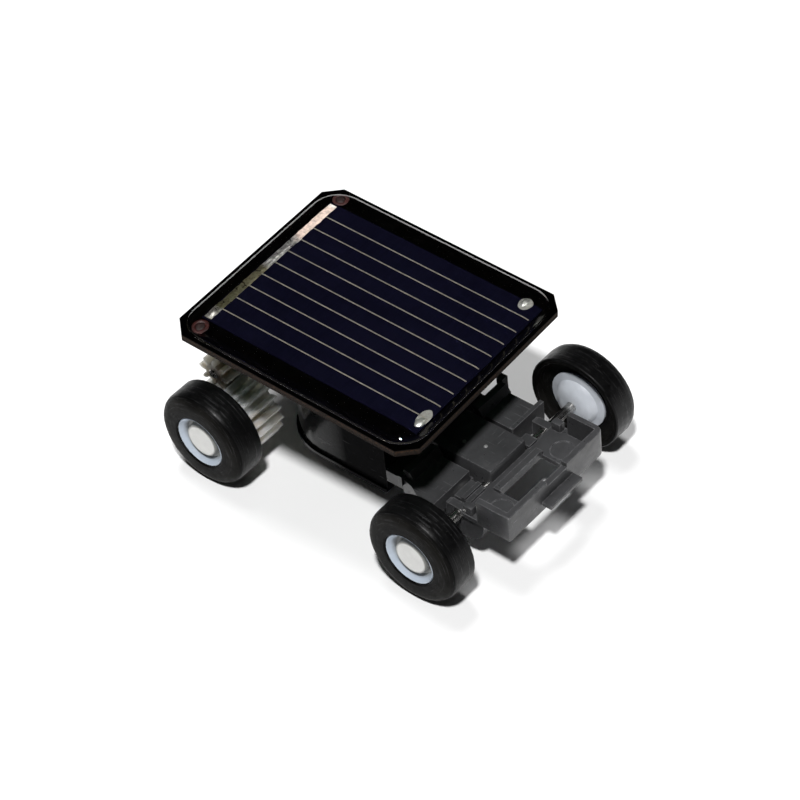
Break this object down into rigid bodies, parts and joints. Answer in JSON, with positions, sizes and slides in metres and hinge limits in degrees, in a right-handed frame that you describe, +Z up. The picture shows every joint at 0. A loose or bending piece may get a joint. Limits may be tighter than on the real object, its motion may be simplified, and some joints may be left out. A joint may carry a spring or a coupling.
{
  "type": "miniature solar car",
  "caption": "Tiny toy car: a domed solar panel on a moulded chassis, a can motor at the back and a spur gear pair turning the rear axle.",
  "frame": {"origin": "on the ground, under the middle of the overall length and width", "axes": "+X forward, +Y the car's left, +Z up"},
  "size_m": [0.0304, 0.022, 0.0145],
  "materials": {
    "tyre": "matt black rubber",
    "nylon": "translucent white nylon",
    "steel": "bright drawn steel",
    "black_gloss": "gloss black moulding",
    "charcoal": "semi-gloss charcoal moulding",
    "bronze": "sintered bronze",
    "ferrite": "bonded ferrite",
    "copper": "bare copper",
    "tinned_metal": "solder",
    "laminate": "brown phenolic laminate",
    "silicon": "dark blue silicon",
    "silver_print": "printed silver paste",
    "epoxy": "clear cast epoxy",
    "foam_tape": "foam tape",
    "red_wire": "wire insulation",
    "black_wire": "wire insulation"
  },
  "bodies": {
    "chassis": {"board_solder_negative": "tinned_metal", "board_solder_positive": "tinned_metal", "brush_lower": "copper", "brush_upper": "copper", "busbar_ribbon": "tinned_metal", "cell_grid": "silver_print", "epoxy_dome": "epoxy", "front_chassis": "charcoal", "front_solder_left": "tinned_metal", "front_solder_right": "tinned_metal", "magnet_front": "ferrite", "magnet_rear": "ferrite", "motor_bush": "bronze", "motor_can": "steel", "motor_end_cap": "nylon", "panel_board": "laminate", "panel_tape": "foam_tape", "rear_body": "black_gloss", "rear_pad_left": "copper", "rear_pad_right": "copper", "solar_cell": "silicon", "wire_negative": "black_wire", "wire_positive": "red_wire"},
    "front_wheelset": {"front_axle": "steel", "front_left_hub": "nylon", "front_left_tyre": "tyre", "front_right_hub": "nylon", "front_right_tyre": "tyre"},
    "rear_wheelset": {"drive_gear": "nylon", "rear_axle": "steel", "rear_left_hub": "nylon", "rear_left_tyre": "tyre", "rear_right_hub": "nylon", "rear_right_tyre": "tyre"},
    "rotor": {"armature_core": "steel", "coil_1": "copper", "coil_2": "copper", "coil_3": "copper", "commutator": "copper", "motor_shaft": "steel", "pinion": "nylon"}
  },
  "joints": [
    {"name": "front_axle_spin", "type": "hinge", "parent": "chassis", "child": "front_wheelset", "pos_m": [0.0093, 0, 0.00405], "axis": [0, 1, 0], "continuous": true},
    {"name": "rear_axle_spin", "type": "hinge", "parent": "chassis", "child": "rear_wheelset", "pos_m": [-0.0111, 0, 0.00405], "axis": [0, 1, 0], "continuous": true},
    {"name": "rotor_spin", "type": "hinge", "parent": "chassis", "child": "rotor", "pos_m": [-0.01202, 0, 0.00805], "axis": [0, 1, 0], "continuous": true}
  ],
  "couplings": [
    {"joint": "rotor_spin", "follows": "rear_axle_spin", "ratio": -2.5}
  ]
}
